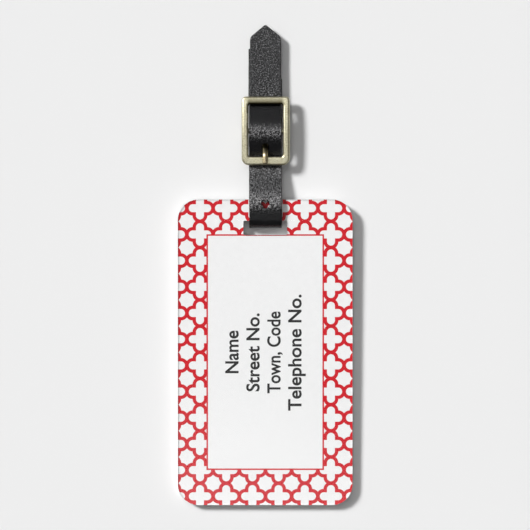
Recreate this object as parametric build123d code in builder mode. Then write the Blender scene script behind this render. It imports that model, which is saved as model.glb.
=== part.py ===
from build123d import *
from math import asin, atan2, cos, degrees, hypot, radians, sin, tan
import os

# Luggage tag on a small buckled leather strap, lying flat, strap tip towards +Y.
# Millimetres, +Z up.  The origin is the middle of the footprint, on the surface
# the tag lies on.  The strap is drawn as a side section in Y-Z and extruded
# across X; the tag is drawn on a plane that leans on the strap's back ply.

os.makedirs("parts", exist_ok=True)

# ---------------------------------------------------------------- dimensions
# tag: a printed card between a backing plate and a clear front sheet
tag_width = 50.8
tag_length = 88.9
tag_corner_radius = 6.0
plate_thickness = 2.3
card_thickness = 0.4
cover_thickness = 0.5
tag_bottom_y = -69.85
tag_edge_break = 0.15
slot_length = 12.7
slot_height = 4.13
slot_corner_radius = 0.35
slot_centre_y = 10.8
strip_lift = 1.1  # height of the tag's back face at its top edge

# strap
strap_width = 9.5
strap_thickness = 0.8
ply_gap = 0.1
tip_y = 69.85
tip_shoulder_y = 66.25
tip_apex_radius = 0.9
tip_shoulder_radius = 1.5
top_fold_y = 63.0
tag_fold_y = 10.7
tab_thickness = 0.4  # the sewn tab is skived to half thickness
tab_end_y = 54.5
free_hole_radius = 1.15
free_hole_y = 17.6
prong_hole_radius = 1.0
prong_hole_y = 34.05
prong_hole_length = 2.75
tongue_slot_width = 2.5

# buckle
buckle_centre_x = 0.15
buckle_centre_y = 38.94
buckle_width = 14.0
buckle_length = 20.0
opening_width = 10.0
upper_bar_width = 2.3
lower_bar_width = 2.55
frame_thickness = 1.4
frame_end_z = 3.75  # underside of the two end bars
frame_arch_radius = 90.0
frame_top_round = 0.6
frame_upper_corner = 1.3
frame_lower_corner = 2.1
opening_corner = 0.6
bar_radius = 0.75
bar_z = 3.3
bar_seat_depth = 1.3
lug_radius = 1.2
tongue_running_gap = 0.05
wrap_running_gap = 0.08
tongue_width = 1.7
tongue_eye_wall = 0.65
prong_half_width = 0.82
prong_half_height = 0.55
prong_tip_round = 0.3
prong_tip_y = 29.3
prong_rest_z = 5.96  # the prong lies on the lower bar
prong_bend_radius = 1.6

# stitching that closes the strap round the centre bar
thread_radius = 0.17
stitch_length = 1.6
stitch_pitch = 2.2
stitch_rows_x = (-3.2, 3.2)
stitches_per_row = 3
first_stitch_y = 49.0

# ---------------------------------------------------------- worked-out sizes
half_strap = strap_thickness / 2
back_z = half_strap
tab_z = strap_thickness + ply_gap
middle_z = tab_z + tab_thickness + half_strap
tip_z = middle_z + strap_thickness + ply_gap
fold_radius = (middle_z - back_z) / 2
wrap_inner = bar_radius + wrap_running_gap
wrap_outer = wrap_inner + strap_thickness
wrap_centre = wrap_inner + half_strap
bar_point = (buckle_centre_y, bar_z)
tab_bend_y = buckle_centre_y + buckle_length / 2 - upper_bar_width  # plies level out here
over_bar_z = bar_z + wrap_outer + ply_gap + half_strap


def tangent_angle(point, radius, side):
    """Angle round the centre bar where a line from point grazes a circle of this radius."""
    run = point[0] - bar_point[0]
    rise = point[1] - bar_point[1]
    return degrees(atan2(rise, run)) + side * (90 - degrees(asin(radius / hypot(run, rise))))


def round_bar(radius, angle):
    """The point at this radius and angle, in degrees, round the centre bar."""
    return (bar_point[0] + radius * cos(radians(angle)), bar_point[1] + radius * sin(radians(angle)))


# --------------------------------------------------------------- strap route
# centre line: tip, under the upper bar, over the centre bar, under the lower
# bar, over the tag's edge, down through its slot and back beneath it
strap_route = [
    (tip_y + 1, tip_z),
    (top_fold_y, tip_z),
    (47.5, tip_z + 0.25),
    (39.3, over_bar_z + 0.75),
    (30.2, 2.3),
    (17.4, 5.8),
    (tag_fold_y + half_strap, 4.65),
    (tag_fold_y + half_strap, back_z),
    (top_fold_y - half_strap - fold_radius, back_z),
]
strap_bends = [20.0, 4.0, 5.5, 4.0, 8.0, 2.6, 1.3]
fold_apex = (top_fold_y - half_strap, (back_z + middle_z) / 2)

# the fixed end: from the top fold, over the centre bar and back as the tab
middle_bend = (tab_bend_y, middle_z)
tab_upper_bend = (tab_bend_y, tab_z + tab_thickness)
tab_lower_bend = (tab_bend_y, tab_z)
wrap_start = tangent_angle(middle_bend, wrap_centre, 1)
wrap_end = tangent_angle(tab_lower_bend, wrap_outer, -1)

# slope of the ply that comes down from the centre bar to the lower bar
over_bar, under_bar = strap_route[3], strap_route[4]
prong_ply_slope = atan2(over_bar[1] - under_bar[1], over_bar[0] - under_bar[0])
prong_hole_z = under_bar[1] + (prong_hole_y - under_bar[0]) * tan(prong_ply_slope)
prong_hole_plane = Plane(
    origin=(0, prong_hole_y, prong_hole_z),
    x_dir=(1, 0, 0),
    z_dir=(0, -sin(prong_ply_slope), cos(prong_ply_slope)),
)

# ----------------------------------------------------------------- stitching
# each stitch is a closed loop of thread through the middle ply and the tab
stitch_top_z = tip_z - half_strap - ply_gap - 0.1
stitch_bottom_z = tab_z + 0.1
with BuildPart() as stitching:
    for row_x in stitch_rows_x:
        for index in range(stitches_per_row):
            near_y = first_stitch_y + index * stitch_pitch - stitch_length / 2
            far_y = near_y + stitch_length
            with BuildLine(Plane.YZ.offset(row_x)) as loop:
                FilletPolyline(
                    (near_y, stitch_bottom_z),
                    (far_y, stitch_bottom_z),
                    (far_y, stitch_top_z),
                    (near_y, stitch_top_z),
                    radius=0.25,
                    close=True,
                )
            with BuildSketch(Plane(origin=loop.line @ 0, z_dir=loop.line % 0)):
                Circle(thread_radius)
            sweep(path=loop.line)

# --------------------------------------------------------------------- strap
# the outline's sharp apex stands a little past the rounded tip
tip_slant = atan2(tip_y - tip_shoulder_y, strap_width / 2)
sharp_tip_y = tip_y + tip_apex_radius * (1 / cos(tip_slant) - 1)
tip_outline = [
    (-strap_width / 2, tip_shoulder_y),
    (0, sharp_tip_y),
    (strap_width / 2, tip_shoulder_y),
]
with BuildPart() as strap:
    with BuildSketch(Plane.YZ.offset(-strap_width / 2)):
        with BuildLine():
            long_run = FilletPolyline(*strap_route, radius=strap_bends)
            top_fold = ThreePointArc(long_run @ 1, fold_apex, (strap_route[-1][0], middle_z))
            FilletPolyline(
                top_fold @ 1, middle_bend, round_bar(wrap_centre, wrap_start), radius=4.0
            )
            CenterArc(bar_point, wrap_centre, wrap_start, 360 + wrap_end - wrap_start)
        trace(line_width=strap_thickness)
        with BuildLine():
            Polyline(
                round_bar(wrap_inner, tangent_angle(tab_upper_bend, wrap_inner, -1)),
                tab_upper_bend,
                (tab_end_y, tab_z + tab_thickness),
                (tab_end_y, tab_z),
                tab_lower_bend,
                round_bar(wrap_outer, wrap_end),
                close=True,
            )
        make_face()
    extrude(amount=strap_width)
    # pointed tip: everything outside the outline is cut away
    with BuildSketch(Plane.XY):
        with Locations((0, tip_y)):
            Rectangle(strap_width + 2, 2 * (tip_y - tip_shoulder_y) + 0.1)
        with BuildLine():
            FilletPolyline(
                (-strap_width / 2, tip_shoulder_y - 4),
                *tip_outline,
                (strap_width / 2, tip_shoulder_y - 4),
                radius=(tip_shoulder_radius, tip_apex_radius, tip_shoulder_radius),
            )
            Line((strap_width / 2, tip_shoulder_y - 4), (-strap_width / 2, tip_shoulder_y - 4))
        make_face(mode=Mode.SUBTRACT)
    extrude(amount=tip_z + strap_thickness, mode=Mode.SUBTRACT)
    # spare hole, over the tag's edge
    with BuildSketch(Plane.XY.offset(tip_z + half_strap)):
        with Locations((0, free_hole_y)):
            Circle(free_hole_radius)
    extrude(amount=over_bar_z, mode=Mode.SUBTRACT)
    # hole that the prong is in, pulled long by use
    with BuildSketch(prong_hole_plane):
        SlotOverall(prong_hole_length, 2 * prong_hole_radius, rotation=90)
    extrude(amount=strap_thickness, both=True, mode=Mode.SUBTRACT)
    # slot through the wrap, where the tongue's eye sits on the centre bar
    with BuildSketch(Plane.XY.offset(bar_z - wrap_outer - 0.2)):
        with Locations((0, buckle_centre_y)):
            Rectangle(tongue_slot_width, 2 * wrap_outer + 0.4)
    extrude(amount=2 * wrap_outer + 0.2 + ply_gap / 2, mode=Mode.SUBTRACT)
    add(stitching.part, mode=Mode.SUBTRACT)

# -------------------------------------------------------------------- buckle
frame_half_length = buckle_length / 2
arch_centre_z = frame_end_z - (frame_arch_radius**2 - frame_half_length**2) ** 0.5
side_bar_width = (buckle_width - opening_width) / 2
opening_length = buckle_length - upper_bar_width - lower_bar_width
opening_centre_y = buckle_centre_y + (lower_bar_width - upper_bar_width) / 2
with BuildPart() as buckle_frame:
    with BuildSketch(Plane.XY.offset(frame_end_z - 0.5)) as frame_outline:
        with Locations((buckle_centre_x, buckle_centre_y)):
            Rectangle(buckle_width, buckle_length)
        fillet(frame_outline.vertices().group_by(Axis.Y)[-1], frame_upper_corner)
        fillet(frame_outline.vertices().group_by(Axis.Y)[0], frame_lower_corner)
        with Locations((buckle_centre_x, opening_centre_y)):
            RectangleRounded(opening_width, opening_length, opening_corner, mode=Mode.SUBTRACT)
    extrude(amount=frame_thickness + 2)
    # both faces follow one shallow arch
    with BuildSketch(Plane.YZ.offset(buckle_centre_x)):
        with Locations((buckle_centre_y, arch_centre_z)):
            Circle(frame_arch_radius + frame_thickness)
            Circle(frame_arch_radius, mode=Mode.SUBTRACT)
    extrude(amount=buckle_width, both=True, mode=Mode.INTERSECT)
    top_edges = buckle_frame.faces().sort_by(Axis.Z)[-1].edges()
    fillet(top_edges, frame_top_round)
    # lugs under the side bars carry the centre bar
    for side in (-1, 1):
        inner_x = buckle_centre_x + side * opening_width / 2
        with BuildSketch(Plane.YZ.offset(inner_x)):
            with Locations(bar_point):
                Circle(lug_radius)
                Rectangle(2 * lug_radius, frame_end_z + 1 - bar_z, align=(Align.CENTER, Align.MIN))
        extrude(amount=side * (side_bar_width - 0.2))
    with BuildSketch(Plane.YZ.offset(buckle_centre_x)):
        with Locations(bar_point):
            Circle(bar_radius)
    extrude(amount=opening_width / 2 + bar_seat_depth, both=True, mode=Mode.SUBTRACT)

with BuildPart() as centre_bar:
    with BuildSketch(Plane.YZ.offset(buckle_centre_x)):
        with Locations(bar_point):
            Circle(bar_radius)
    extrude(amount=opening_width / 2 + bar_seat_depth, both=True)
    chamfer(centre_bar.faces().filter_by(Axis.X).edges(), 0.12)

# -------------------------------------------------------------------- tongue
eye_inner = bar_radius + tongue_running_gap
eye_outer = eye_inner + tongue_eye_wall
with BuildPart() as tongue:
    with BuildSketch(Plane.YZ):
        with Locations(bar_point):
            Circle(eye_outer)
    extrude(amount=tongue_width / 2, both=True)
    fillet(tongue.faces().filter_by(Axis.X).edges(), 0.2)
    with BuildLine(Plane.YZ) as prong_line:
        FilletPolyline(
            (buckle_centre_y - eye_inner, bar_z),
            (34.6, bar_z),
            (32.1, prong_rest_z),
            (prong_tip_y, prong_rest_z),
            radius=prong_bend_radius,
        )
    root_plane = Plane(
        origin=prong_line.line @ 0, x_dir=(1, 0, 0), z_dir=prong_line.line % 0
    )
    with BuildSketch(root_plane):
        Ellipse(prong_half_width, prong_half_height)
    sweep(path=prong_line.line)
    fillet(tongue.faces().sort_by(Axis.Y)[0].edges(), prong_tip_round)
    with BuildSketch(Plane.YZ):
        with Locations(bar_point):
            Circle(eye_inner)
    extrude(amount=tongue_width, both=True, mode=Mode.SUBTRACT)

# ----------------------------------------------------------------------- tag
# the tag's back face: low edge on the table, high edge on the strap's back ply
tag_lean = asin(strip_lift / tag_length)
tag_plane = Plane(
    origin=(0, tag_bottom_y, 0),
    x_dir=(1, 0, 0),
    z_dir=(0, -sin(tag_lean), cos(tag_lean)),
)
slot_from_bottom = (slot_centre_y - tag_bottom_y) / cos(tag_lean)


def tag_layer(height, thickness):
    """One full-size sheet of the tag, its underside at this height above the back face."""
    with BuildPart() as layer:
        with BuildSketch(tag_plane.offset(height)):
            with Locations((0, tag_length / 2)):
                RectangleRounded(tag_width, tag_length, tag_corner_radius)
            with Locations((0, slot_from_bottom)):
                RectangleRounded(
                    slot_length, slot_height, slot_corner_radius, mode=Mode.SUBTRACT
                )
        extrude(amount=thickness)
    return layer


back_plate = tag_layer(0, plate_thickness)
print_card = tag_layer(plate_thickness, card_thickness)
front_cover = tag_layer(plate_thickness + card_thickness, cover_thickness)
with front_cover:
    front_face = front_cover.faces().filter_by(tag_plane).sort_by(Axis.Z)[-1]
    chamfer(front_face.edges(), tag_edge_break)

# -------------------------------------------------------------------- export
pieces = {
    "strap": strap,
    "strap_stitching": stitching,
    "buckle_frame": buckle_frame,
    "buckle_centre_bar": centre_bar,
    "buckle_tongue": tongue,
    "tag_back_plate": back_plate,
    "tag_print_card": print_card,
    "tag_front_cover": front_cover,
}
for name, piece in pieces.items():
    piece.part.label = name
    export_step(piece.part, f"parts/{name}.step")
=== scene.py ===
"""Luggage tag on a black buckled strap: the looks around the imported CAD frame.

Lengths in the named values below are in millimetres, and MM turns them into
metres.  The strap is cut flat as a pattern, with its holes and rounded edges,
and then bent along its route; the buckle's pieces are softened copies of the
CAD solids; the printed lattice is worked out in the card's material.
"""

import math

import bmesh
import bpy
import numpy as np
from mathutils import Matrix, Vector
from mathutils.geometry import tessellate_polygon


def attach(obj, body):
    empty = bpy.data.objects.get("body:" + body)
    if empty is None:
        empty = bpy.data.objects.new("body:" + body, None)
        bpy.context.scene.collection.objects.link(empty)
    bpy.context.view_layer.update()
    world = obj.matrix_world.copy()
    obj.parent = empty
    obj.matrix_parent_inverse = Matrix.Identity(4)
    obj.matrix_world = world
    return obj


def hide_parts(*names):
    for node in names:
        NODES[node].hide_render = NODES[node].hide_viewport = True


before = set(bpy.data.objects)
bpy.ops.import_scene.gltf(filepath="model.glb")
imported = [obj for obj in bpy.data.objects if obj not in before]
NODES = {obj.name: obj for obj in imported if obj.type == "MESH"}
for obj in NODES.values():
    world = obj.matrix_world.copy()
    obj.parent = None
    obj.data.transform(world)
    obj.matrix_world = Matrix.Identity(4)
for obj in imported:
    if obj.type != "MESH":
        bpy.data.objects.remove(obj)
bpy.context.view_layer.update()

MM = 0.001

# ------------------------------------------------------------------- sizes
# tag, measured along its leaning face from its lower edge
TAG_WIDTH = 50.8
TAG_LENGTH = 88.9
TAG_CORNER = 6.0
PLATE = 2.3
CARD = 0.4
COVER = 0.5
COVER_EDGE = 0.12
COVER_GAP = 0.03
TAG_BOTTOM_Y = -69.85
TAG_LIFT = 1.1
SLOT_LENGTH = 12.7
SLOT_HEIGHT = 4.13
SLOT_CORNER = 0.35
SLOT_CENTRE = 80.65

# print
LATTICE_PERIOD = 7.62
ARM_HALF_WIDTH = 1.16
ARM_CENTRE = 2.09
PRINT_SHIFT = (0.075, -0.04)
LATTICE_LINE = 1.0
WINDOW_WIDTH = 34.2
WINDOW_LENGTH = 68.6
WINDOW_LINE = 0.45
LINES = ("Name", "Street No.", "Town, Code", "Telephone No.")
LINE_LENGTHS = (12.4, 22.7, 23.8, 33.8)
CAP_HEIGHT = 3.8
FIRST_BASELINE_X = -7.85
LINE_PITCH = 6.1
INK = 0.012
FONT_DEPTH = 0.002
WELD = 1e-5
LETTER_BOLDNESS = 0.02

# where the brass is painted dark as shade: y where it starts, where it is full, and y it stays above
# on the upper bar's inner side: painted shade and a painted dark reflection of the strap
UPPER_BAR_PAINTED_SHADE = (49.3, 46.9, 44.0)
# on the prong's upper end: painted shadow of the strap lying over it
PRONG_PAINTED_SHADE = (33.0, 34.2, 30.0)
# how far across the painted shade reaches: x where it ends, and x where it is full
PAINTED_SHADE_ACROSS = (5.6, 4.8)

# the strap as a flat pattern, cut from its tip at 0 to the end of its tab
STRAP_WIDTH = 9.5
TIP_WIDTH = 9.05
STRAP_THICKNESS = 0.8
TAB_THICKNESS = 0.4
EDGE_ROUND = 0.2
TIP_TAPER = 3.6
TIP_ROUND = 0.9
TAB_CORNER = 0.6
# the tip's shoulder: how far past the taper each point is, and how far in from the edge
SHOULDER = ((-0.5, 0.55), (0, 0.2), (0.6, 0.03), (1.4, 0))
# lengths between which the tip widens, and between which its matt finish ends
TIP_WIDENS = (18, 32)
TIP_MATT = (16, 26)
SKIVE_LEAD = 1.5

# the strap's centre line, in y and z
TIP_Y = 69.85
TIP_Z = 2.6
TOP_FOLD_Y = 63.0
MIDDLE_Z = 1.7
TAB_Z = 0.9
TAB_BEND_Y = 46.64
TAB_END_Y = 54.5
BAR = (38.94, 3.3)
WRAP_RADIUS = 1.23
WRAP_ARCS = 3
# the upper run's corners, from the top fold to the tag's slot, and the radius of each bend
UPPER_CORNERS = (
    (TOP_FOLD_Y, TIP_Z), (47.5, TIP_Z + 0.25), (39.3, 6.18), (30.2, 2.3), (17.4, 5.8), (11.1, 4.65),
)
UPPER_BENDS = (20.0, 4.0, 5.5, 4.0, 8.0, 2.6)
SLOT_BEND = 1.3
TOP_FOLD_BEND = 0.64
TAB_BEND = 4.0
ROUTE_STEP = 0.05
ARC_STEPS = 24
SMOOTHING_STEPS = 17
# the longest and the most sharply turned piece of strap between two cuts
LONGEST_STEP = 1.2
SHARPEST_STEP = math.radians(7)
CUT_SNAP = 1e-4

# how far the strap strays sideways at these lengths, then from near its end to its end
DRIFT_AT = (0, 40, 60, 112)
DRIFT_END = 12
DRIFT = (0.05, 0.05, 0.1, -0.15, 0.2, 0.2)
# slow waves of its edges: size, turn per millimetre, start
WAVES = ((0.04, 0.35, 0.0), (0.02, 0.9, 1.0))

# the strap's holes, and the stretches of its length where they are looked for
FREE_HOLE_Y = 17.6
FREE_HOLE_RADIUS = 1.15
PRONG_HOLE_Y = 34.05
PRONG_HOLE_RADIUS = 1.0
PRONG_HOLE_STRETCH = 0.375
TONGUE_SLOT_HALF_WIDTH = 1.2
TONGUE_SLOT_REACH = 1.9
FREE_HOLE_RUN = (40, 62)
PRONG_HOLE_RUN = (34, 44)
WRAP_RUN_START = 120
TAB_RUN = 16

# where the buckle and the tag's slot have rubbed the grain smooth; these stretches, where shade falls,
# also get no painted glints or sheen
RUBBED_AND_SHADED_Y = (15.2, 16.6, 31.0, 32.5, 35.6, 37.2, 39.6, 41.2, 46.7, 47.5)
RUBBED_AND_SHADED = (1, 0, 0, 1, 1, 0, 0, 1, 1, 0)
# pale bands where the upper run crests over its bends: painted sheen, with some paling from wear; on
# the upper run only
WEAR_AND_SHEEN_Y = (16.2, 17.2, 19.2, 20.7, 22.0, 25.0, 27.0, 29.5, 30.5, 36.9, 37.6, 39.3, 40.2)
WEAR_AND_SHEEN = (0, 1, 1, 0.3, 0.03, 0.03, 0.35, 0.4, 0, 0, 0.8, 0.8, 0)
UPPER_RUN = 62.0
# how fast the painted edge fades in from the faces, and how deep the flesh side's face reaches
EDGE_FADE = 5
FLESH_DEPTH = 0.02


# ------------------------------------------------------------ mesh helpers
EDGE_RINGS = 4


def new_object(name, bm, material, smooth=True):
    """A linked object from a bmesh in millimetres."""
    mesh = bpy.data.meshes.new(name)
    bmesh.ops.scale(bm, verts=bm.verts, vec=(MM, MM, MM))
    bmesh.ops.recalc_face_normals(bm, faces=bm.faces)
    for face in bm.faces:
        face.smooth = smooth
    bm.to_mesh(mesh)
    bm.free()
    mesh.materials.append(material)
    piece = bpy.data.objects.new(name, mesh)
    bpy.context.collection.objects.link(piece)
    return piece


def even_normals(piece):
    """Weights the piece's normals by face area, so that its flat faces shade flat."""
    weights = piece.modifiers.new("even normals", "WEIGHTED_NORMAL")
    weights.keep_sharp = False


def arc(centre, radius, start, end, count):
    """Points along an arc, angles in degrees, both ends included."""
    angles = [math.radians(start + (end - start) * i / count) for i in range(count + 1)]
    return [(centre[0] + radius * math.cos(a), centre[1] + radius * math.sin(a)) for a in angles]


def long_hole(first, last, radius, count):
    """A loop with round ends, their centres on the x axis at first and last."""
    return arc((last, 0), radius, -90, 90, count) + arc((first, 0), radius, 90, 270, count)


def rounded_rectangle(centre, width, height, radius, count):
    """An anticlockwise loop with round corners, each cut into this many steps."""
    loop = []
    for turn, (sx, sy) in enumerate(((1, 1), (-1, 1), (-1, -1), (1, -1))):
        corner = (
            centre[0] + sx * (width / 2 - radius),
            centre[1] + sy * (height / 2 - radius),
        )
        loop += arc(corner, radius, 90 * turn, 90 * turn + 90, count)
    return loop


def loop_normals(loop):
    """Unit normals to the right of each point's direction of travel."""
    normals = []
    for i, point in enumerate(loop):
        before, after = loop[i - 1], loop[(i + 1) % len(loop)]
        first = Vector((point[0] - before[0], point[1] - before[1])).normalized()
        second = Vector((after[0] - point[0], after[1] - point[1])).normalized()
        across = (first + second).normalized()
        stretch = max(0.5, across.dot(first))
        normals.append((across.y / stretch, -across.x / stretch))
    return normals


def slab(outline, holes, thickness, edge):
    """A closed plate in x-y, centred on z = 0, with its outer and hole edges rounded over.

    The outline runs anticlockwise and the holes clockwise, so that the right
    of the travel is always away from the material.
    """
    bm = bmesh.new()
    loops = [outline] + [list(reversed(hole)) for hole in holes]
    half = thickness / 2
    levels = []
    for i in range(EDGE_RINGS + 1):
        angle = math.pi / 2 * i / EDGE_RINGS
        levels.append((edge * (1 - math.sin(angle)), half - edge * (1 - math.cos(angle))))
    section = levels + [(inset, -z) for inset, z in reversed(levels)]
    caps = ([], [])
    for loop in loops:
        normals = loop_normals(loop)
        stack = []
        for inset, z in section:
            ring = [
                bm.verts.new((p[0] - n[0] * inset, p[1] - n[1] * inset, z))
                for p, n in zip(loop, normals)
            ]
            stack.append(ring)
        for upper, lower in zip(stack, stack[1:]):
            for i in range(len(loop)):
                bm.faces.new((upper[i - 1], upper[i], lower[i], lower[i - 1]))
        caps[0].append(stack[0])
        caps[1].append(stack[-1])
    for cap in caps:
        triangles = tessellate_polygon([[v.co.copy() for v in ring] for ring in cap])
        flat = [v for ring in cap for v in ring]
        for a, b, c in triangles:
            bm.faces.new((flat[a], flat[b], flat[c]))
    return bm


# ------------------------------------------------------------ shader maths
class Field:
    """A number worked out by Math nodes, so that patterns read as formulas."""

    def __init__(self, tree, socket):
        self.tree = tree
        self.socket = socket

    def op(self, name, other=None):
        """This Math operation on the Field, and on another Field or a number."""
        node = self.tree.nodes.new("ShaderNodeMath")
        node.operation = name
        self.tree.links.new(self.socket, node.inputs[0])
        if isinstance(other, Field):
            self.tree.links.new(other.socket, node.inputs[1])
        elif other is not None:
            node.inputs[1].default_value = other
        return Field(self.tree, node.outputs[0])

    def __add__(self, other):
        return self.op("ADD", other)

    def __sub__(self, other):
        return self.op("SUBTRACT", other)

    def __mul__(self, other):
        return self.op("MULTIPLY", other)

    def abs(self):
        return self.op("ABSOLUTE")

    def fract(self):
        return self.op("FRACT")

    def min(self, other):
        return self.op("MINIMUM", other)

    def max(self, other):
        return self.op("MAXIMUM", other)

    def above(self, edge):
        return self.op("GREATER_THAN", edge)

    def below(self, edge):
        return self.op("LESS_THAN", edge)

    def ramp(self, low, high):
        """0 at low, 1 at high, clamped."""
        node = self.tree.nodes.new("ShaderNodeMapRange")
        self.tree.links.new(self.socket, node.inputs["Value"])
        node.inputs["From Min"].default_value = low
        node.inputs["From Max"].default_value = high
        return Field(self.tree, node.outputs["Result"])


def hypot(a, b):
    """The long side of the right triangle with sides a and b, as a Field."""
    return (a * a + b * b).op("SQRT")


def new_material(name, **values):
    """A material with one Principled shader and its plain values set."""
    material = bpy.data.materials.new(name)
    material.use_nodes = True
    shader = material.node_tree.nodes["Principled BSDF"]
    for key, value in values.items():
        shader.inputs[key.replace("_", " ")].default_value = value
    return material, material.node_tree, shader


def position(tree):
    """Object coordinates, and their three parts as Fields in millimetres."""
    coords = tree.nodes.new("ShaderNodeTexCoord")
    split = tree.nodes.new("ShaderNodeSeparateXYZ")
    tree.links.new(coords.outputs["Object"], split.inputs[0])
    return coords.outputs["Object"], [Field(tree, out) * (1 / MM) for out in split.outputs]


def attribute(tree, name):
    """A vertex attribute of the mesh, as a Field."""
    node = tree.nodes.new("ShaderNodeAttribute")
    node.attribute_name = name
    return Field(tree, node.outputs["Fac"])


def texture(tree, kind, coords, **settings):
    """A noise or Voronoi texture on these coordinates, as a Field."""
    node = tree.nodes.new(kind)
    for key, value in settings.items():
        if key in node.inputs:
            node.inputs[key].default_value = value
        else:
            setattr(node, key, value)
    tree.links.new(coords, node.inputs["Vector"])
    return Field(tree, node.outputs["Distance" if kind == "ShaderNodeTexVoronoi" else 0])


def mix_colour(tree, factor, low, high):
    """A colour socket that runs from low to high with the factor."""
    node = tree.nodes.new("ShaderNodeMix")
    node.data_type = "RGBA"
    tree.links.new(factor.socket, node.inputs["Factor"])
    for name, value in (("A", low), ("B", high)):
        socket = [s for s in node.inputs if s.name == name and s.type == "RGBA"][0]
        if isinstance(value, bpy.types.NodeSocket):
            tree.links.new(value, socket)
        else:
            socket.default_value = (*value, 1)
    return [s for s in node.outputs if s.type == "RGBA"][0]


def bump(tree, shader, height, distance):
    """Connects a height Field, times this distance in millimetres, to the shader's normal."""
    node = tree.nodes.new("ShaderNodeBump")
    node.inputs["Strength"].default_value = 1.0
    node.inputs["Distance"].default_value = distance * MM
    tree.links.new(height.socket, node.inputs["Height"])
    tree.links.new(node.outputs["Normal"], shader.inputs["Normal"])


# --------------------------------------------------------------- materials
def leather_material():
    """Black pebbled leather with smooth painted edges and a matt flesh side; its pale flecks are
    painted glints and its pale bands painted sheen.
    """
    material, tree, shader = new_material("black_leather", Specular_IOR_Level=0.45)
    coords, _ = position(tree)
    pebble = texture(tree, "ShaderNodeTexVoronoi", coords, Scale=2500.0, feature="SMOOTH_F1")
    fine = texture(tree, "ShaderNodeTexNoise", coords, Scale=3600.0, Detail=3.0)
    broad = texture(tree, "ShaderNodeTexNoise", coords, Scale=260.0, Detail=4.0)
    glint_noise = texture(tree, "ShaderNodeTexNoise", coords, Scale=2600.0, Detail=1.0)
    edge = attribute(tree, "edge")
    rubbed_and_shaded = attribute(tree, "rubbed_and_shaded")
    # where painted glints and painted sheen may go
    painted_glint_mask = edge.max(rubbed_and_shaded) * -1.0 + 1.0
    grain = (pebble * 0.7 + fine * 0.8) * (edge * -0.95 + 1.0) * (rubbed_and_shaded * -0.4 + 1.0)
    colour = mix_colour(tree, broad.ramp(0.35, 0.7), (0.002, 0.002, 0.0025), (0.005, 0.005, 0.006))
    # pale flecks: painted glints, none on the painted edges or the rubbed zones
    colour = mix_colour(tree, glint_noise.ramp(0.52, 0.70) * painted_glint_mask, colour, (0.125, 0.125, 0.13))
    # pale bands: painted sheen over the bends, partly wear
    pale_wear_and_sheen = glint_noise.ramp(0.42, 0.66) * painted_glint_mask * attribute(tree, "pale_wear_and_sheen")
    colour = mix_colour(tree, pale_wear_and_sheen, colour, (0.28, 0.275, 0.28))
    tree.links.new(colour, shader.inputs["Base Color"])
    rough = fine.ramp(0.3, 0.75) * 0.10 + 0.20 - rubbed_and_shaded * 0.08
    rough = rough + attribute(tree, "flesh") * 0.35 + attribute(tree, "matt") * 0.06
    tree.links.new(rough.socket, shader.inputs["Roughness"])
    bump(tree, shader, grain, 0.16)
    return material


def brass_material(name, dark, mid, light, painted_shade_span):
    """Antique brass: brushed, paler in random patches of wear, and painted dark brown as shade over
    the given y range.
    """
    material, tree, shader = new_material(name, Metallic=1.0)
    coords, (x, y, _) = position(tree)
    stretch = tree.nodes.new("ShaderNodeMapping")
    stretch.inputs["Scale"].default_value = (0.35, 1.0, 0.6)
    tree.links.new(coords, stretch.inputs["Vector"])
    brush = texture(tree, "ShaderNodeTexNoise", stretch.outputs[0], Scale=3800.0, Detail=5.0)
    patch = texture(tree, "ShaderNodeTexNoise", coords, Scale=520.0, Detail=4.0)
    pale_wear_and_sheen = mix_colour(tree, patch.ramp(0.3, 0.7), mid, light)
    colour = mix_colour(tree, brush.ramp(0.25, 0.55), dark, pale_wear_and_sheen)
    start, full, stop = painted_shade_span
    # painted shade: dark brown over the given y range and across the middle
    painted_shade = y.ramp(start, full) * y.above(stop) * x.abs().ramp(*PAINTED_SHADE_ACROSS)
    colour = mix_colour(tree, painted_shade, colour, (0.06, 0.05, 0.022))
    tree.links.new(colour, shader.inputs["Base Color"])
    rough = patch.ramp(0.3, 0.7) * 0.08 + 0.32
    tree.links.new(rough.socket, shader.inputs["Roughness"])
    bump(tree, shader, brush, 0.02)
    return material


TWISTS = 22.0


def thread_material():
    """Waxed black thread, with its twist as fine ribs."""
    material, tree, shader = new_material("black_thread", Roughness=0.55)
    coords, (_, y, z) = position(tree)
    twist = ((y + z) * TWISTS).op("SINE")
    fuzz = texture(tree, "ShaderNodeTexNoise", coords, Scale=6000.0, Detail=2.0)
    colour = mix_colour(tree, fuzz.ramp(0.3, 0.8), (0.008, 0.008, 0.009), (0.03, 0.03, 0.032))
    tree.links.new(colour, shader.inputs["Base Color"])
    bump(tree, shader, twist * 0.5 + fuzz, 0.02)
    return material


def clear_material():
    """Clear polished sheet: mirror-like by Fresnel, otherwise see-through, whiter at its cut edges."""
    material, tree, shader = new_material("clear_acrylic", Metallic=1.0)
    shader.inputs["Base Color"].default_value = (0.97, 0.98, 0.98, 1)
    facing = tree.nodes.new("ShaderNodeLayerWeight")
    facing.inputs["Blend"].default_value = 0.5
    gloss = Field(tree, facing.outputs["Facing"]).op("POWER", 5.0) * 0.9 + 0.016
    geometry = tree.nodes.new("ShaderNodeNewGeometry")
    split = tree.nodes.new("ShaderNodeSeparateXYZ")
    tree.links.new(geometry.outputs["Normal"], split.inputs[0])
    upright = Field(tree, split.outputs["Z"]).abs().ramp(0.6, 0.2)
    coords, _ = position(tree)
    haze = texture(tree, "ShaderNodeTexNoise", coords, Scale=900.0, Detail=3.0)
    alpha = gloss + upright * (haze * 0.1 + 0.65)
    tree.links.new(alpha.min(1.0).socket, shader.inputs["Alpha"])
    rough = haze.ramp(0.3, 0.7) * 0.03 + 0.03 + upright * 0.25
    tree.links.new(rough.socket, shader.inputs["Roughness"])
    return material


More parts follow.
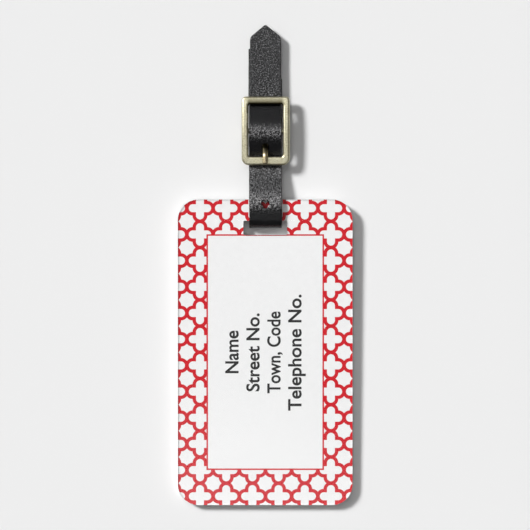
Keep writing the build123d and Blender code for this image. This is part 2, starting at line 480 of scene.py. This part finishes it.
def card_material():
    """White card with a red quatrefoil lattice round a plain window with a thin red line."""
    material, tree, shader = new_material("printed_card", Roughness=0.5, Specular_IOR_Level=0.15)
    coords, (x, y, _) = position(tree)
    from_centre_y = y - (TAG_BOTTOM_Y + TAG_LENGTH / 2)
    across = (x - PRINT_SHIFT[0]) * (1 / LATTICE_PERIOD)
    up = (from_centre_y - PRINT_SHIFT[1]) * (1 / LATTICE_PERIOD)
    cell_x = (across.fract() - 0.5).abs() * LATTICE_PERIOD
    cell_y = (up.fract() - 0.5).abs() * LATTICE_PERIOD
    along_x = hypot((cell_x - ARM_CENTRE).max(0.0), cell_y)
    along_y = hypot((cell_y - ARM_CENTRE).max(0.0), cell_x)
    from_arm = along_x.min(along_y) - ARM_HALF_WIDTH
    lattice = from_arm.above(0.0) * from_arm.below(LATTICE_LINE)
    from_window = (x.abs() - WINDOW_WIDTH / 2).max(from_centre_y.abs() - WINDOW_LENGTH / 2)
    outside = from_window.above(0.0)
    line = from_window.above(-WINDOW_LINE) * from_window.below(0.0)
    red = lattice * outside + line
    paper = texture(tree, "ShaderNodeTexNoise", coords, Scale=700.0, Detail=3.0)
    white = mix_colour(tree, paper.ramp(0.3, 0.7), (0.82, 0.82, 0.82), (0.84, 0.84, 0.84))
    ink = mix_colour(tree, paper.ramp(0.3, 0.7), (0.57, 0.008, 0.017), (0.60, 0.011, 0.021))
    colour = mix_colour(tree, red, white, ink)
    tree.links.new(colour, shader.inputs["Base Color"])
    return material


def plate_material():
    """White rigid plastic with a faint cloudiness."""
    material, tree, shader = new_material("white_plate", Specular_IOR_Level=0.45)
    coords, _ = position(tree)
    cloud = texture(tree, "ShaderNodeTexNoise", coords, Scale=120.0, Detail=3.0)
    colour = mix_colour(tree, cloud.ramp(0.3, 0.7), (0.74, 0.74, 0.735), (0.78, 0.78, 0.775))
    tree.links.new(colour, shader.inputs["Base Color"])
    rough = cloud.ramp(0.3, 0.7) * 0.06 + 0.24
    tree.links.new(rough.socket, shader.inputs["Roughness"])
    return material


def ink_material():
    """Black print with a faint mottle."""
    material, tree, shader = new_material("black_ink", Roughness=0.5)
    coords, _ = position(tree)
    mottle = texture(tree, "ShaderNodeTexNoise", coords, Scale=2500.0, Detail=2.0)
    colour = mix_colour(tree, mottle.ramp(0.3, 0.7), (0.003, 0.003, 0.003), (0.009, 0.009, 0.009))
    tree.links.new(colour, shader.inputs["Base Color"])
    return material


# ------------------------------------------------------------------- strap
def rounded_route(points, bends):
    """Points at even steps along straight runs joined by tangent arcs of the given radii."""
    path = [Vector(points[0])]
    corners = [Vector(p) for p in points]
    for before, corner, after, radius in zip(corners, corners[1:], corners[2:], bends):
        inward = (before - corner).normalized()
        outward = (after - corner).normalized()
        half_turn = (math.pi - inward.angle(outward)) / 2
        reach = radius * math.tan(half_turn)
        centre = corner + (inward + outward).normalized() * radius / math.cos(half_turn)
        start = corner + inward * reach - centre
        side = 1 if inward.y * outward.x - inward.x * outward.y > 0 else -1
        for i in range(ARC_STEPS + 1):
            angle = side * 2 * half_turn * i / ARC_STEPS
            turned = Vector((
                start.x * math.cos(angle) - start.y * math.sin(angle),
                start.x * math.sin(angle) + start.y * math.cos(angle),
            ))
            path.append(centre + turned)
    path.append(corners[-1])
    path = np.array([tuple(p) for p in path])
    lengths = np.concatenate([[0], np.cumsum(np.hypot(*np.diff(path, axis=0).T))])
    even = np.arange(0, lengths[-1], ROUTE_STEP)
    return np.stack([np.interp(even, lengths, path[:, i]) for i in (0, 1)], axis=1)


def bar_tangent(point, radius, side):
    """Angle round the centre bar where a line from point grazes this radius, in degrees."""
    run, rise = point[0] - BAR[0], point[1] - BAR[1]
    reach = math.degrees(math.asin(radius / math.hypot(run, rise)))
    return math.degrees(math.atan2(rise, run)) + side * (90 - reach)


def strap_route():
    """The strap's centre line in y-z, from its tip to the end of its sewn tab."""
    half = STRAP_THICKNESS / 2
    middle_bend = (TAB_BEND_Y, MIDDLE_Z)
    tab_bend = (TAB_BEND_Y, TAB_Z)
    start = bar_tangent(middle_bend, WRAP_RADIUS, 1)
    turn = (360 + bar_tangent(tab_bend, WRAP_RADIUS, -1) - start) / WRAP_ARCS
    corner_radius = WRAP_RADIUS / math.cos(math.radians(turn / 2))
    wrap = []
    for i in range(WRAP_ARCS):
        angle = math.radians(start + turn * (i + 0.5))
        wrap.append((
            BAR[0] + corner_radius * math.cos(angle),
            BAR[1] + corner_radius * math.sin(angle),
        ))
    slot_y = UPPER_CORNERS[-1][0]
    fold_y = TOP_FOLD_Y - half
    points = [
        (TIP_Y, TIP_Z), *UPPER_CORNERS, (slot_y, half), (fold_y, half), (fold_y, MIDDLE_Z),
        middle_bend, *wrap, tab_bend, (TAB_END_Y, TAB_Z),
    ]
    bends = [*UPPER_BENDS, SLOT_BEND, TOP_FOLD_BEND, TOP_FOLD_BEND, TAB_BEND]
    bends += [WRAP_RADIUS] * WRAP_ARCS + [TAB_BEND]
    return rounded_route(points, bends)


def smooth_rows(rows, width):
    """The rows averaged over a window of this many steps, ends held."""
    kernel = np.hanning(width + 2)[1:-1]
    kernel /= kernel.sum()
    padded = np.pad(rows, ((width // 2, width // 2), (0, 0)), mode="edge")
    return np.stack([np.convolve(padded[:, i], kernel, "valid") for i in (0, 1)], axis=1)


def strap_line():
    """The bent centre line: its points, the steps between them, their lengths and directions."""
    route = smooth_rows(strap_route(), SMOOTHING_STEPS)
    steps = np.hypot(*np.diff(route, axis=0).T)
    along = np.concatenate([[0], np.cumsum(steps)])
    heading = np.gradient(route, axis=0)
    heading /= np.linalg.norm(heading, axis=1)[:, None]
    return route, steps, along, heading


def flat_strap(length, free_hole, prong_hole, tongue_slot):
    """The strap as it is cut from a sheet, with x running from its tip."""
    half = STRAP_WIDTH / 2
    shoulder = [(TIP_TAPER + past, half - inset) for past, inset in SHOULDER]
    corner = arc((length - TAB_CORNER, half - TAB_CORNER), TAB_CORNER, 90, 0, 5)
    outline = (
        arc((TIP_ROUND, 0), TIP_ROUND, 127, 233, 8)
        + [(s, -u) for s, u in shoulder + corner]
        + list(reversed(shoulder + corner))
    )
    start = tongue_slot[0] + TONGUE_SLOT_HALF_WIDTH
    end = tongue_slot[1] - TONGUE_SLOT_HALF_WIDTH
    upper_end = prong_hole - PRONG_HOLE_STRETCH
    lower_end = prong_hole + PRONG_HOLE_STRETCH
    holes = [
        arc((free_hole, 0), FREE_HOLE_RADIUS, 0, 360, 28)[:-1],
        long_hole(upper_end, lower_end, PRONG_HOLE_RADIUS, 12),
        long_hole(start, end, TONGUE_SLOT_HALF_WIDTH, 10),
    ]
    return slab(outline, holes, STRAP_THICKNESS, EDGE_ROUND)


def cut_across(bm, steps, along, heading):
    """Cuts the flat strap across: closely where it will be bent, widely where it stays straight."""
    turning = np.abs(np.gradient(np.unwrap(np.arctan2(heading[:, 1], heading[:, 0])), along))
    crowding = np.maximum(turning / SHARPEST_STEP, 1 / LONGEST_STEP)
    stations = np.concatenate([[0], np.cumsum(crowding[1:] * steps)])
    for i in range(1, int(stations[-1])):
        everything = bm.verts[:] + bm.edges[:] + bm.faces[:]
        cut = np.interp(i, stations, along)
        bmesh.ops.bisect_plane(
            bm, geom=everything, plane_co=(cut, 0, 0), plane_no=(1, 0, 0), dist=CUT_SNAP
        )
    bmesh.ops.triangulate(bm, faces=bm.faces)


def bend_strap(bm, route, along, heading, skive_start, tab_bend):
    """Marks the kinds of leather and where painted sheen goes on the flat strap, and bends it along
    its route.
    """
    names = ("edge", "flesh", "matt", "rubbed_and_shaded", "pale_wear_and_sheen")
    edge, flesh, matt, rubbed_and_shaded, pale_wear_and_sheen = [bm.verts.layers.float.new(name) for name in names]
    half_thick = STRAP_THICKNESS / 2
    drift_at = (*DRIFT_AT, along[-1] - DRIFT_END, along[-1])
    for vert in bm.verts:
        # s runs along the flat strap, u across it, and h up through the leather
        s, u, h = vert.co
        at = [np.interp(s, along, route[:, i]) for i in (0, 1)]
        ahead = [np.interp(s, along, heading[:, i]) for i in (0, 1)]
        vert[edge] = min(1.0, (1 - abs(h) / half_thick) * EDGE_FADE)
        vert[flesh] = 1.0 if h < FLESH_DEPTH - half_thick else 0.0
        vert[matt] = np.interp(s, TIP_MATT, (1.0, 0.0))
        # rubbed zones get no painted glints or sheen; the bands get painted sheen
        vert[rubbed_and_shaded] = np.interp(at[0], RUBBED_AND_SHADED_Y, RUBBED_AND_SHADED)
        vert[pale_wear_and_sheen] = np.interp(at[0], WEAR_AND_SHEEN_Y, WEAR_AND_SHEEN) if s < UPPER_RUN else 0.0
        width = np.interp(s, TIP_WIDENS, (TIP_WIDTH / STRAP_WIDTH, 1.0))
        drift = np.interp(s, drift_at, DRIFT)
        drift += sum(size * math.sin(s * rate + phase) for size, rate, phase in WAVES)
        skive = np.interp(s, (skive_start, tab_bend), (1.0, TAB_THICKNESS / STRAP_THICKNESS))
        height = (h + half_thick) * skive - half_thick
        vert.co = (
            u * width + drift,
            at[0] + height * ahead[1],
            at[1] - height * ahead[0],
        )


def build_strap(material):
    """The strap: a flat pattern, cut across, then bent along its route."""
    route, steps, along, heading = strap_line()
    length = along[-1]

    def where(y, first, last):
        """Distance along the strap where its centre line is at y, within a stretch."""
        stretch = (along >= first) & (along <= last)
        index = np.argmin(np.abs(route[stretch, 0] - y))
        return along[stretch][index]

    free_hole = where(FREE_HOLE_Y, *FREE_HOLE_RUN)
    prong_hole = where(PRONG_HOLE_Y, *PRONG_HOLE_RUN)
    slot_start = where(BAR[0] + TONGUE_SLOT_REACH, WRAP_RUN_START, length - TAB_RUN)
    slot_end = where(BAR[0] + TONGUE_SLOT_REACH, length - TAB_RUN, length)
    tab_bend = where(TAB_BEND_Y, length - TAB_RUN, length)
    bm = flat_strap(length, free_hole, prong_hole, (slot_start, slot_end))
    cut_across(bm, steps, along, heading)
    bend_strap(bm, route, along, heading, slot_end - SKIVE_LEAD, tab_bend)
    strap = new_object("leather_strap", bm, material)
    even_normals(strap)
    return strap


# --------------------------------------------------------------- tag layers
def tag_matrix(height):
    """From tag coordinates, x across and y up from the lower edge, to the leaning tag."""
    lean = math.asin(TAG_LIFT / TAG_LENGTH)
    matrix = Matrix.Translation((0, TAG_BOTTOM_Y, 0)) @ Matrix.Rotation(lean, 4, "X")
    return matrix @ Matrix.Translation((0, 0, height))


def build_cover(name, middle, thickness, material):
    """A slotted sheet with rounded edges, its mid-plane at this height above the tag's back."""
    outline = rounded_rectangle((0, TAG_LENGTH / 2), TAG_WIDTH, TAG_LENGTH, TAG_CORNER, 24)
    slot = rounded_rectangle((0, SLOT_CENTRE), SLOT_LENGTH, SLOT_HEIGHT, SLOT_CORNER, 5)
    bm = slab(outline, [slot], thickness, COVER_EDGE)
    bm.transform(tag_matrix(middle))
    cover = new_object(name, bm, material)
    even_normals(cover)
    return cover


def build_lines(material):
    """The four printed lines, reading up the tag, each set to its own length."""
    depsgraph = bpy.context.evaluated_depsgraph_get()
    bm = bmesh.new()
    for i, (words, length) in enumerate(zip(LINES, LINE_LENGTHS)):
        font = bpy.data.curves.new("line", "FONT")
        font.body = words
        font.align_x = "CENTER"
        font.extrude = FONT_DEPTH / 2
        font.offset = LETTER_BOLDNESS
        holder = bpy.data.objects.new("line", font)
        bpy.context.collection.objects.link(holder)
        depsgraph.update()
        mesh = bpy.data.meshes.new_from_object(holder.evaluated_get(depsgraph))
        bpy.data.objects.remove(holder)
        corners = np.array([v.co for v in mesh.vertices])
        wide = np.ptp(corners[:, 0])
        tall = corners[:, 1].max()
        size = (length / wide, CAP_HEIGHT / tall, INK / FONT_DEPTH)
        baseline = FIRST_BASELINE_X + i * LINE_PITCH
        place = (
            tag_matrix(PLATE + CARD + INK / 2)
            @ Matrix.Translation((baseline, TAG_LENGTH / 2, 0))
            @ Matrix.Rotation(math.pi / 2, 4, "Z")
            @ Matrix.Diagonal((*size, 1))
        )
        mesh.transform(place)
        bm.from_mesh(mesh)
    bmesh.ops.remove_doubles(bm, verts=bm.verts, dist=WELD)
    return new_object("printed_lines", bm, material, smooth=False)


# -------------------------------------------------------------- cast metal
def cast_copy(name, node, material, voxel, rounds):
    """A copy of a CAD solid with its edges softened, as a cast and tumbled piece has them."""
    mesh = NODES[node].data.copy()
    piece = bpy.data.objects.new(name, mesh)
    bpy.context.collection.objects.link(piece)
    mesh.materials.clear()
    mesh.materials.append(material)
    remesh = piece.modifiers.new("even mesh", "REMESH")
    remesh.mode = "VOXEL"
    remesh.voxel_size = voxel * MM
    remesh.use_smooth_shade = True
    soften = piece.modifiers.new("soft edges", "SMOOTH")
    soften.factor = 0.5
    soften.iterations = rounds
    return piece


# ------------------------------------------------------------ put together
leather = leather_material()
brass = brass_material(
    "antique_brass", (0.42, 0.38, 0.23), (0.60, 0.56, 0.39), (0.72, 0.69, 0.52), UPPER_BAR_PAINTED_SHADE
)
dark_brass = brass_material(
    "worn_brass", (0.24, 0.19, 0.10), (0.42, 0.35, 0.20), (0.56, 0.49, 0.33), PRONG_PAINTED_SHADE
)
clear = clear_material()
ink = ink_material()

strap = build_strap(leather)
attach(strap, "root")
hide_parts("strap")

buckle = cast_copy("brass_buckle", "buckle_frame", brass, voxel=0.1, rounds=6)
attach(buckle, "buckle")
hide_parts("buckle_frame")

tongue = cast_copy("brass_tongue", "buckle_tongue", dark_brass, voxel=0.08, rounds=4)
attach(tongue, "tongue")
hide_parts("buckle_tongue")

front = build_cover(
    "clear_front", PLATE + CARD + COVER / 2 + COVER_GAP / 2, COVER - COVER_GAP, clear
)
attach(front, "tag")
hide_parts("tag_front_cover")

lines = build_lines(ink)
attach(lines, "tag")

for node, material in (
    ("strap_stitching", thread_material()),
    ("buckle_centre_bar", brass),
    ("tag_print_card", card_material()),
    ("tag_back_plate", plate_material()),
):
    NODES[node].data.materials.clear()
    NODES[node].data.materials.append(material)

# ------------------------------------------------------------- stage, light
FLOOR_SIZE = 3.0
FLOOR_DROP = 0.02
FLOOR_COLOUR = (0.8, 0.8, 0.8, 1)
SKY_TOWARD = (-0.5, 0.3, 1.0)
SKY_BASE = 0.07
SKY_GLOW = 0.14
# each softbox: where it stands, the cosines of its outer and inner edges, its strength
SOFTBOXES = (
    ((-0.04, 0.17, 0.98), (0.990, 0.999), 2.0),
    ((-0.10, 0.44, 0.89), (0.965, 0.995), 2.4),
    ((-0.04, -0.18, 0.98), (0.991, 0.999), 4.0),
)
bm = bmesh.new()
bmesh.ops.create_grid(bm, x_segments=1, y_segments=1, size=FLOOR_SIZE / MM / 2)
floor_material, _, floor_shader = new_material("pale_floor", Roughness=0.9, Specular_IOR_Level=0.1)
floor_shader.inputs["Base Color"].default_value = FLOOR_COLOUR
floor = new_object("floor", bm, floor_material, smooth=False)
floor.location.z = -FLOOR_DROP * MM

world = bpy.data.worlds.new("studio")
bpy.context.scene.world = world
world.use_nodes = True
sky = world.node_tree
towards = sky.nodes.new("ShaderNodeTexCoord")


def sky_cosine(direction):
    """The cosine of the angle between the ray and this direction, as a Field."""
    dot = sky.nodes.new("ShaderNodeVectorMath")
    dot.operation = "DOT_PRODUCT"
    dot.inputs[1].default_value = Vector(direction).normalized()
    sky.links.new(towards.outputs["Generated"], dot.inputs[0])
    return Field(sky, dot.outputs["Value"])


strength = sky_cosine(SKY_TOWARD).ramp(-0.6, 1.0) * SKY_GLOW + SKY_BASE
for direction, edge, power in SOFTBOXES:
    strength = strength + sky_cosine(direction).ramp(*edge) * power
sky.links.new(strength.socket, sky.nodes["Background"].inputs["Strength"])
sky.nodes["Background"].inputs["Color"].default_value = (1, 1, 1, 1)

# the key light stands up and to the left of the tag; a shadow falls this far, x and y, per height
SHADOW_PER_HEIGHT = (0.90, -0.58)
SUN_STRENGTH = 3.46
SUN_ANGLE = math.radians(12)
sun = bpy.data.lights.new("key", "SUN")
sun.energy = SUN_STRENGTH
sun.angle = SUN_ANGLE
key = bpy.data.objects.new("key", sun)
bpy.context.collection.objects.link(key)
toward = Vector((-SHADOW_PER_HEIGHT[0], -SHADOW_PER_HEIGHT[1], 1.0))
key.rotation_euler = toward.to_track_quat("Z", "Y").to_euler()

# camera straight above, framed on the whole tag and strap
VIEW_WIDTH = 154.14 * MM
VIEW_CENTRE = (-0.06 * MM, -0.04 * MM)
CAMERA_HEIGHT = 1.2
FACE_HEIGHT = 3.5 * MM
camera = bpy.data.cameras.new("camera")
camera.angle = 2 * math.atan(VIEW_WIDTH / 2 / (CAMERA_HEIGHT - FACE_HEIGHT))
camera.clip_end = 10
eye = bpy.data.objects.new("camera", camera)
eye.location = (*VIEW_CENTRE, CAMERA_HEIGHT)
bpy.context.collection.objects.link(eye)
bpy.context.scene.camera = eye
bpy.context.scene.view_settings.view_transform = "Standard"

bpy.context.view_layer.update()
